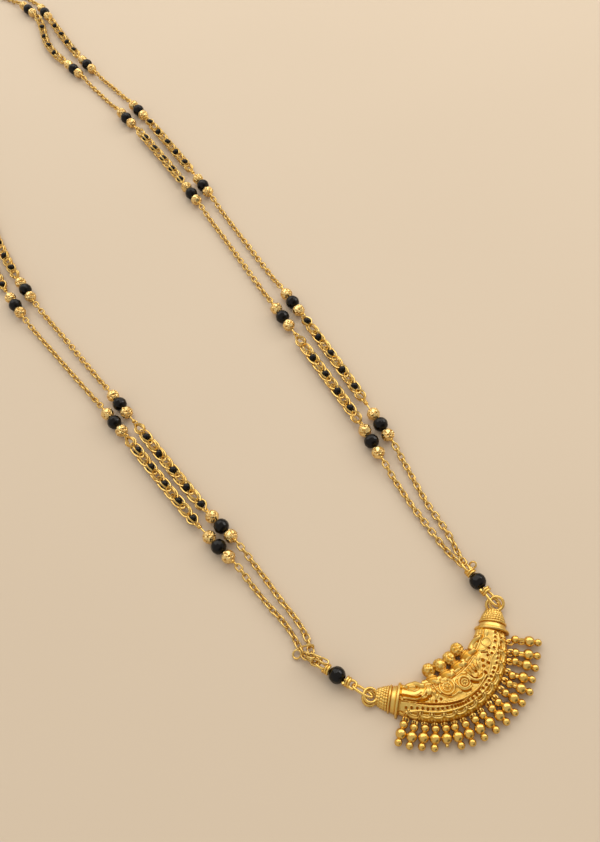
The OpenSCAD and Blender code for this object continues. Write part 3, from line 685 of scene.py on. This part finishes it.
# how far each drop is turned along the edge in degrees, slid outwards in mm and swayed in degrees
hang_of = [(-0.5, 0.05, 2), (-0.9, -0.05, -2), (-0.85, -0.35, -6), (-0.8, -0.35, -6), (-0.75, -0.35, -6),
           (-0.7, -0.3, 3), (-0.75, -0.2, -3), (-0.45, -0.2, -3), (-0.35, -0.15, 5), (0.1, 0, 4),
           (-0.25, 0.1, 9), (0, 0.25, 2), (0.2, 0.65, 5), (-0.2, 0.45, 9), (0.65, 0.65, -6),
           (0.1, 0.9, -3), (0.9, 1.3, -10)]
for i, (turn, slide, sway) in enumerate(hang_of):
    base = Matrix.Translation(Vector((*edge_middle, 1.1)) * mm) @ turn_by(7 * (i - 8) + turn - 90, "Z")
    pivot = Matrix.Translation(Vector((drop_balls[1][0], 0, 0)) * mm)
    hang = (base @ Matrix.Translation(Vector((slide, 0, 0)) * mm)
            @ pivot @ turn_by(sway, "Z") @ pivot.inverted())
    roll = Matrix.Rotation(random.Random(i).uniform(0, 6), 4, "X")
    drop = placed(f"drop_{i + 1:02d}_balls", model_drop.data.copy())
    # a drop that lies further out has its top ball on a loop of its own, and one has a worn end ball
    back = 0.75 * slide if slide > 0.4 else 0
    for point in drop.data.vertices:
        if point.co.x < (collar_1 + 0.02) * mm:
            point.co.x -= back * mm
        past = point.co.x - (collar_2 + 0.02) * mm
        if i == 4 and past > 0:
            point.co = Vector((point.co.x - past * 0.55, point.co.y * 0.5, point.co.z * 0.5))
    drop.data.transform(hang @ roll)
    rings = [(rolled(oval(15, 16 + slide - back, 0.6, 18), 35 if i % 2 else -25), True)]
    if back:
        neck = oval(16.95 + slide - back, 17.4 + slide, 0.52, 14)
        rings.append((rolled(neck, -40 if i % 2 else 50), True))
    ring = bent_wire("ring", rings, 0.42, 8)
    ring.data.transform(base)
    select(drop, ring)
    bpy.ops.object.join()
    finish_piece(drop, drop_gold, f"drop_{i + 1:02d}", angle=24)
    hole = [(x, 0, z) for x, z in circle(15.22, 0, 0.5)[:-1]]
    eyelet = bent_wire(f"eyelet_{i + 1:02d}", [(hole, True)], 0.38, 8)
    eyelet.data.transform(base)
    finish_piece(eyelet, drop_gold, "crescent")
bpy.data.objects.remove(model_drop)


# ---- Link wires and their beads
# A wire through one round black bead ties each pair of strands to the pendant. It is wound round
# itself beside the bead, with a long loop through the pendant's eye and a loop for the strands.
black = Finish("black_glass", Specular_IOR_Level=0.21, Coat_Roughness=0.06)
black_cloud, black_waves = black.cloud(900, 2), black.cloud(520, 1)
black_glass = black.covers(
    Base_Color=black.blend(black_cloud, (0.002, 0.0015, 0.001, 1), (0.007, 0.005, 0.003, 1)),
    Roughness=0.03 + black_cloud * 0.04,
    Normal=black.node("Bump", {}, {"Strength": 0.3, "Distance": 0.0001, "Height": black_waves}))


def frame_along(start, direction):
    """Places a piece modelled along X so that it starts at a point and runs in a direction, in mm."""
    x = Vector(direction).normalized()
    y = Vector((0, 0, 1)).cross(x).normalized()
    z = x.cross(y)
    return Matrix.Translation(Vector(start)) @ Matrix((x, y, z)).transposed().to_4x4()


def put(matrix, points):
    return [tuple(matrix @ Vector(p)) for p in points]


def winding(start, end, radius, turns):
    count = int(turns * 16)
    return [(start + (end - start) * k / count, radius * cos(2 * pi * turns * k / count),
             radius * sin(2 * pi * turns * k / count)) for k in range(count + 1)]


def outward_at(latitude, around):
    """The direction out of a bead on the X axis at a latitude towards its end, in degrees."""
    lat, a = radians(latitude), radians(around)
    return Vector((sin(lat), cos(lat) * cos(a), cos(lat) * sin(a)))


def faceted_bead(name, diameter, bore):
    """A round bead with a bore along X and four rows of broad soft facets."""
    half = diameter / 2
    edge = degrees(asin(bore / half))
    outline = arc(0, half, edge, 180 - edge, 15)
    outline += [(outline[-1][0] * 0.2, bore * 0.95), (outline[0][0] * 0.2, bore * 0.95), outline[0]]
    bead = turned(name, outline, (0, 0, 0), (1, 0, 0), 30)
    cut_flat(bead, [(outward_at(lat, 36 * k + 18 * row), half * 0.972)
                    for row, lat in enumerate((-52, -18, 18, 52)) for k in range(10)])
    return bead


model_black = faceted_bead("model_black", 3.55, 0.32)
link_reach, link_rise, link_far = {"right": 5.8, "left": 7.6}, 0.3, 3.9
bead_end = 1.85
for side, name, swing in ((1, "right", 0), (-1, "left", radians(24))):
    reach = link_reach[name]
    rise = Vector((-sin(swing) * reach, cos(swing) * reach, link_rise))
    along_wire = frame_along((eye_x * side, eye_y, 1.45), rise)
    bead_x = rise.length
    collar, beyond = bead_x - bead_end - 1, bead_x + bead_end
    far_loop = bead_x + link_far
    runs = [(winding(collar - 0.1, collar + 1, 0.92, 2.1), False),
            (winding(beyond, beyond + 1.1, 0.92, 2.1), False),
            ([(collar - 0.1, 0, 0), (beyond + 1.1, 0, 0)], False),
            (rolled(oval(beyond + 0.75, far_loop + 0.95, 0.85), 45), True)]
    if side > 0:
        runs.append((rolled(oval(-0.5, collar + 0.25, 0.84), 36), True))
    else:
        runs.append((rolled(oval(collar - 1.5, collar + 0.1, 0.82), 8), True))
        runs.append((rolled(oval(-0.45, collar - 0.85, 0.72), 40), True))
    wire = bent_wire(f"{name}_link_wire_bent", [(put(along_wire, run), closed) for run, closed in runs], 0.56)
    finish_piece(wire, wire_gold, f"{name}_link_wire")
    bead = placed(f"{name}_link_bead_glass", model_black.data.copy())
    bead.data.transform(Matrix.Scale(mm, 4) @ along_wire @ Matrix.Translation((bead_x, 0, 0))
                        @ Matrix.Scale(1 / mm, 4))
    finish_piece(bead, black_glass, f"{name}_link_bead", angle=14)


# ---- Strands: the six groups of beads on each
# Two strands run from each link wire round to the clasp. Six times on each, a straight wire with an
# end loop at both sides carries a black bead between two cut gold beads.
clasp_x, clasp_y, clasp_z = 5.65, 315, 1.5
odd, even = (1, 3, 5, 7, 9), (2, 4, 6, 8, 10)
# round the back both sides run alike to the clasp
round_back = {"outer": [(29.2, 276), (28.5, 288), (25.3, 300), (21.9, 307.2), (18, 312), (13.7, 315),
                        (9.6, 315.65), (7.22, 315.31)],
              "inner": [(25.6, 273), (25.5, 281), (23.3, 292), (20.2, 300.5), (16.8, 307), (12.9, 311.9),
                        (9.53, 314), (7.22, 314.69)]}
link_end = {"right": (16, 19.7), "left": (-20.68, 20.51)}
# in mm: a group's end loops, how far these and the gold beads lie from its middle, its height, the
# longer stem of one wire in each pair, and how the cages follow one another
loop_r, loop_at, gold_at, group_z = 0.65, 5.8, 3.35, 1.75
stems, cage_pitch, cage_reach, cage_hook = (2, 2, 0.6), 3, 1.8575, 1.8775


class Strand:
    """The line of one strand, and the places of its bead groups, in mm from its link wire.

    Each stretch of fine chain has its length, each woven one its number of cages and those that hold
    a seed bead, counted from the far end."""

    def __init__(self, name, fine, cages, seeds, route):
        self.name, self.fine, self.cages, self.seeds = name, fine, cages, seeds
        self.side, lane = name.split("_")
        self.out = 1 if lane == "outer" else -1
        flip = 1 if self.side == "right" else -1
        ahead = [(x * flip, y) for x, y in round_back[lane] + [(clasp_x, clasp_y)]]
        self.line = np.array(curl([link_end[self.side]] + route + ahead, 12))
        self.run = run_of(self.line)
        self.middles = []
        place = fine[0] + loop_at
        for group in range(6):
            self.middles.append(place)
            if group % 2 == 0:
                woven = 2 * cage_hook + (cages[group // 2] - 1) * cage_pitch
                place += stems[group // 2] + woven + 2 * loop_at
            elif group < 5:
                place += fine[(group + 1) // 2] + 2 * loop_at

    def at(self, s):
        return np.array([np.interp(s, self.run, values) for values in self.line.T])

    def frame_at(self, s, reach, level):
        """Places a link that lies along the line from s - reach to s + reach, at a level over the table."""
        a, b = (Vector((*self.at(end), level(end))) for end in (s - reach, s + reach))
        return frame_along((a + b) / 2, b - a)

    def reach(self, group):
        """How far a group's wire reaches before and after its black bead."""
        extra = stems[group // 2]
        return (loop_at + (extra if self.out < 0 and group % 2 else 0),
                loop_at + (extra if self.out > 0 and not group % 2 else 0))

    def group_frame(self, group):
        before, after = self.reach(group)
        a, b = self.at(self.middles[group] - before), self.at(self.middles[group] + after)
        ahead = (b - a) / np.linalg.norm(b - a)
        middle = a + ahead * before
        return frame_along((middle[0], middle[1], group_z), (ahead[0], ahead[1], 0))


necklace = [
    Strand("right_outer", (33.8, 42.7, 22.8), (10, 10, 9), (odd, odd, even[:4]), [
        (16.31, 21.27), (16.85, 23.4), (17.8, 26.8), (18.4, 31.5), (19, 37.4), (21.4, 49.8), (22.5, 59),
        (24.6, 80), (26.3, 103), (27.9, 130), (29.6, 157), (30.5, 180), (30.5, 201), (29.6, 218),
        (27.6, 236), (28, 256)]),
    Strand("right_inner", (31, 44.5, 24.5), (10, 10, 11), (odd[1:], even, odd[1:]), [
        (15.69, 21.27), (15.35, 23.45), (15.35, 27.3), (15.6, 33), (16, 40), (17.3, 51), (18.4, 56.5),
        (20.2, 78), (21.5, 100), (23.5, 128), (25.2, 156), (26, 178), (25.7, 200), (24.6, 218),
        (23.3, 236), (21.7, 248), (22, 258), (23.7, 265)]),
    Strand("left_inner", (33, 40, 26), (10, 10, 11), (even, odd, even), [
        (-21.04, 22.07), (-20.7, 24.2), (-19.75, 27.6), (-19.6, 32), (-20, 37.6), (-20.2, 44),
        (-20.8, 53), (-22.2, 60), (-24, 80), (-25.9, 104), (-28.4, 130), (-30.6, 155), (-29.8, 178),
        (-26.8, 200), (-24.8, 218), (-23.3, 236), (-21.9, 248), (-22.2, 258), (-23.9, 265)]),
    Strand("left_outer", (29.4, 40.7, 26.5), (10, 10, 9), (even, even, odd), [
        (-21.6, 21.82), (-22.35, 23.9), (-22.2, 26.6), (-21.95, 29.8), (-22.1, 33), (-22.75, 37.6),
        (-23.35, 44), (-23.6, 48.5), (-25.3, 56), (-27.4, 77), (-29.4, 100), (-32.6, 126), (-35.2, 151),
        (-34.4, 178), (-31.8, 201), (-29.6, 220), (-27.8, 237), (-28.2, 256)]),
]


def copies(name, model, places):
    """One mesh of many copies of a modelled piece, each at its own place in mm."""
    points = np.array([v.co for v in model.data.vertices]) / mm
    shapes = [tuple(face.vertices) for face in model.data.polygons]
    corners, faces = [], []
    for place in places:
        turn = np.array(place)
        start = len(corners) * len(points)
        corners.append(points @ turn[:3, :3].T + turn[:3, 3])
        faces += [tuple(start + v for v in face) for face in shapes]
    mesh = bpy.data.meshes.new(name)
    mesh.from_pydata((np.concatenate(corners) * mm).tolist(), [], faces)
    if "hollow" in model.data.attributes:
        mark_painted_shade(mesh, [value.value for value in model.data.attributes["hollow"].data] * len(corners))
    return placed(name, mesh)


bead_gold = gold("bead_gold", (0.94, 0.69, 0.285, 1), (0.50, 0.22, 0.015, 1), 0.22, 0.9, 0.35, 0.03,
                 shade_in_hollows=True)
gold_r = 1.62


def cut_gold_bead(name, seed, long_cuts):
    """A ball cut all over with dished facets that run mostly along the strand, or crisscross, and pitted,
    with painted shade in its pits.
    """
    chance = random.Random(seed)
    outline = arc(0, gold_r, 12, 168, 21)
    outline += [(0.9, 0.3), (-0.9, 0.3), outline[0]]
    bead = turned(name, outline, (0, 0, 0), (1, 0, 0), 48)
    cuts = []
    columns = 16 if long_cuts else 12
    for k in range(columns):
        for latitude in ((-38, 0, 38) if long_cuts else (-56, -28, 0, 28, 56)):
            twist = latitude * 0.6 if long_cuts else (15 if latitude in (-28, 28) else 0)
            lat = latitude + chance.uniform(-5, 5)
            around = 360 * k / columns + twist + degrees(chance.uniform(-0.07, 0.07))
            cuts.append((outward_at(lat, around), gold_r * chance.uniform(0.93, 0.97)))
    cut_flat(bead, cuts, reach=(1.4, 9), share=1.3)
    shade = []
    for point in bead.data.vertices:
        place = point.co / mm
        pit = 0.0
        if place.length > 1.3:
            cell = noise.voronoi(place * 1.9 + Vector((seed, seed, 0)))[0][0]
            pit = max(0, 1 - cell / 0.5)
            point.co -= place.normalized() * 0.32 * pit * mm
        # painted shade in each pit
        shade.append(min(1, 1.9 * pit))
    mark_painted_shade(bead.data, shade)
    return bead


model_golds = [cut_gold_bead("model_gold_1", 5, False), cut_gold_bead("model_gold_2", 9, True),
               cut_gold_bead("model_gold_3", 21, False)]
chance = random.Random(40)
for strand in necklace:
    frames = [strand.group_frame(group) for group in range(6)]
    glass = copies(f"{strand.name}_black_beads_glass", model_black,
                   [f @ turn_by(chance.uniform(0, 360)) for f in frames])
    finish_piece(glass, black_glass, f"{strand.name}_black_beads", angle=14)
    balls = []
    for f in frames:
        for x in (-gold_at, gold_at):
            kind = chance.choice((0, 1, 2))
            balls.append((kind, f @ Matrix.Translation((x, 0, 0)) @ turn_by(chance.uniform(0, 360))))
    parts = [copies("part", model_golds[kind], [place for k, place in balls if k == kind])
             for kind in (0, 1, 2) if any(k == kind for k, _ in balls)]
    cut_balls = parts[0]
    select(*parts)
    if len(parts) > 1:
        bpy.ops.object.join()
    cut_balls.name = f"{strand.name}_gold_beads_cut"
    finish_piece(cut_balls, bead_gold, f"{strand.name}_gold_beads", angle=16)

    wires = []
    for group, f in enumerate(frames):
        before, after = strand.reach(group)
        # the loop on the side of the woven chain lies across its last cage
        rolls = (90, 45) if group % 2 == 0 else (45 if strand.cages[group // 2] % 2 else 135, 90)
        runs = [([(loop_r - before, 0, 0), (after - loop_r, 0, 0)], False)]
        for x, roll, inwards in ((-before, rolls[0], 1), (after, rolls[1], -1)):
            wound = x + inwards * (loop_r + 0.1)
            runs += [([(x + px, py, pz) for px, py, pz in rolled(hoop(loop_r, 16), roll)], True),
                     (winding(wound, wound + inwards * 0.5, 0.33, 1.6), False)]
        wires += [(put(f, run), closed) for run, closed in runs]
    wire = bent_wire(f"{strand.name}_bead_wires_bent", wires, 0.38, 8)
    finish_piece(wire, wire_gold, f"{strand.name}_bead_wires")


# ---- Woven chain
# Between every second pair of groups runs a chain of almond cages. Each cage is two bows of wire
# soldered at the tips, crossed by a second pair, and every other one holds a black seed bead.
chain_gold = gold("chain_gold", (0.76, 0.53, 0.17, 1), (0.54, 0.26, 0.02, 1), 0.25, 1.3, 0.3, 0.03)


def almond(half_length, half_width, count=9, swell=1.9):
    """The closed outline of a link with pointed ends."""
    loop = [(half_length * t, half_width * (1 - abs(t) ** swell))
            for t in (-1 + 2 * k / count for k in range(count))]
    return loop + [(-x, -y) for x, y in loop]


bpy.ops.mesh.primitive_uv_sphere_add(segments=12, ring_count=8, radius=1 * mm)
model_seed = bpy.context.object
work_on(model_seed, (bpy.ops.transform.resize, {"value": (1, 1, 0.88)}))
model_flat = bent_wire("model_flat", [([(x, y, 0) for x, y in almond(2.8, 1.2, 11, 2.8)], True)], 0.45, 6)
model_cage = bent_wire("model_cage", [([(x, y, 0) for x, y in almond(cage_reach, 1.24)], True)], 0.43, 6)
weave_z = 1.45
for strand in necklace:
    for stretch in range(3):
        count = strand.cages[stretch]
        group = 2 * stretch
        first = strand.middles[group] + strand.reach(group)[1] + cage_hook
        span = (count - 1) * cage_pitch

        def level(s):
            inside = max(0, min(s - first, first + span - s))
            return group_z + (weave_z - group_z) * min(1, inside / 8)

        flat, crossed, held = [], [], []
        split = (strand.name, stretch) in (("right_inner", 1), ("left_outer", 0))
        for j in range(count):
            s = first + j * cage_pitch
            place = strand.frame_at(s, cage_reach, level)
            if 0 < j < count - 1:
                flat.append(place @ turn_by(chance.uniform(-9, 9)) @ turn_by(8, "Y"))
            else:
                crossed.append(place @ turn_by(chance.uniform(-9, 9)))
            if count - j in strand.seeds[stretch]:
                held.append(place @ turn_by(chance.uniform(0, 180)) @ turn_by(90, "Y"))
                roll = 64 if split else 38 if j % 4 < 2 else -38
                crossed.append(place @ turn_by(roll + chance.uniform(-8, 8)))
            else:
                for roll in (48, 132):
                    crossed.append(place @ turn_by(roll + chance.uniform(-10, 10)))
        node = f"{strand.name}_woven_{stretch + 1}"
        for kind, model, places in (("flats", model_flat, flat), ("crossings", model_cage, crossed)):
            finish_piece(copies(f"{node}_{kind}", model, places), chain_gold, node, angle=60)
        if held:
            glass = copies(f"{node}_seeds", model_seed, held)
            finish_piece(glass, black_glass, node, angle=60)


# ---- Fine cable chain
# Soldered oval links, each turned a quarter from the last, join the link wires and the bead groups,
# and the same chain runs plain round the back of the neck.
link_length, link_width, link_wire = 2.3, 1.7, 0.45
bpy.ops.mesh.primitive_torus_add(major_radius=(link_width - link_wire) / 2 * mm,
                                 minor_radius=link_wire / 2 * mm, major_segments=10, minor_segments=5)
model_link = bpy.context.object
for point in model_link.data.vertices:
    if abs(point.co.x) > 1e-6:
        point.co.x += copysign((link_length - link_width) / 2 * mm, point.co.x)
fine_z, fine_lead, tip_reach = 0.85, 4, 0.8
twin_step, fine_hook, twin_hook = 0.26, 0.79, 0.84


def cable(strand, start, end, start_z=group_z, end_z=group_z, start_hook=fine_hook, end_hook=fine_hook):
    """Places of the links between two loops, from the tip of the first link to the tip of the last."""
    tip_a, tip_b = start + start_hook - tip_reach, end - end_hook + tip_reach
    inner = link_length - 2 * link_wire
    count = max(2, ceil((tip_b - tip_a - link_length) / inner) + 1)
    step = (tip_b - tip_a - link_length) / (count - 1)
    lead_a, lead_b = tip_a + tip_reach + fine_lead, tip_b - tip_reach - fine_lead

    def level(s):
        if s < lead_a:
            return fine_z + (start_z - fine_z) * min(1, (lead_a - s) / fine_lead)
        return fine_z + (end_z - fine_z) * min(1, max(0, s - lead_b) / fine_lead)

    places = []
    extra = 0 if count % 2 else 90
    for k in range(count):
        s = tip_a + link_length / 2 + k * step
        settle = min(1, min(k, count - 1 - k) / 6)
        twist = 90 * k + extra * k / (count - 1) + settle * (45 + chance.uniform(-11, 11))
        places.append(strand.frame_at(s, 0.7, level) @ turn_by(twist))
    return places


for strand in necklace:
    above = twin_step * strand.out
    rise = link_rise / link_reach[strand.side] * link_far
    fine = cable(strand, 0, strand.fine[0], group_z + above + rise, start_hook=twin_hook)
    for group in (2, 4):
        end = strand.middles[group] - loop_at
        fine += cable(strand, end - strand.fine[group // 2], end)
    back = cable(strand, strand.middles[5] + loop_at, strand.run[-1], end_z=clasp_z + above,
                 end_hook=twin_hook)
    for name, links, node in (("fine_links", fine, "fine"), ("back_links", back, "back_chain")):
        chain = copies(f"{strand.name}_{name}", model_link, links)
        finish_piece(chain, chain_gold, f"{strand.name}_{node}", angle=80)

# a slack end of the left chain, with a free ring, lies over the strands; a spare ring lies on the right
slack = curl([(-19.2, 19.7, 2.7), (-20.2, 21.2, 3), (-21.3, 23, 2.7), (-22.4, 24.5, 1.4)])
slack_run = run_of(slack)
links = []
for k in range(4):
    a, b = (Vector([np.interp(0.2 + 1.45 * k + reach, slack_run, values) for values in np.transpose(slack)])
            for reach in (0, 1.4))
    links.append(frame_along((a + b) / 2, b - a) @ turn_by(90 * k + 30))
slack_links = copies("left_slack_links", model_link, links)
finish_piece(slack_links, chain_gold, "left_outer_fine", angle=80)
tips = [([(x - 23.4, y + 25.4, 0.65 + 0.35 * x) for x, y in circle(0, 0, 0.85)[:-1]], True),
        (curl([(-22.1, 25.35, 1.3), (-21.7, 25.7, 1.7), (-21, 25.45, 1.9), (-20.2, 25.05, 1.9),
               (-19.7, 24.7, 1.5), (-19.9, 24.35, 1.2)]), False)]
finish_piece(bent_wire("left_slack_rings", tips, 0.42, 8), chain_gold, "left_outer_fine")
spare = [([(x + 17.75, y + 19.4, 0.75 + 0.5 * x) for x, y in circle(0, 0, 0.66)[:-1]], True)]
finish_piece(bent_wire("right_spare_ring", spare, 0.42, 8), chain_gold, "right_outer_fine")


# ---- Clasp
# A plain turned barrel that screws shut, with a rolled bead at each end and in the middle, and a
# wire loop at both ends for the strands.
barrel_half = [(4.62, 0), (4.62, 0.5), (4.5, 0.9), (4.3, 1.15), (4.05, 1.32), (3.85, 1.36), (3.78, 1.46),
               (3.6, 1.5), (3.42, 1.46), (3.35, 1.38), (0.45, 1.38), (0.38, 1.46), (0.2, 1.5), (0.05, 1.46),
               (0.03, 1.34)]
outline = barrel_half + [(-a, r) for a, r in reversed(barrel_half)]
barrel = turned("clasp_barrel", outline, (0, clasp_y, clasp_z), (1, 0, 0), 40)
finish_piece(barrel, wire_gold, "clasp", angle=45)
loops = [([(start, clasp_y, clasp_z), (start + 0.6, clasp_y, clasp_z)], False) for start in (-5, 4.4)]
for middle in (-clasp_x, clasp_x):
    loops.append(([(middle + x, clasp_y, clasp_z + z) for x, z in hoop(0.85, 20)], True))
finish_piece(bent_wire("clasp_loops", loops, 0.4), wire_gold, "clasp")

for model in [model_black, model_seed, model_cage, model_flat, model_link] + model_golds:
    bpy.data.objects.remove(model)
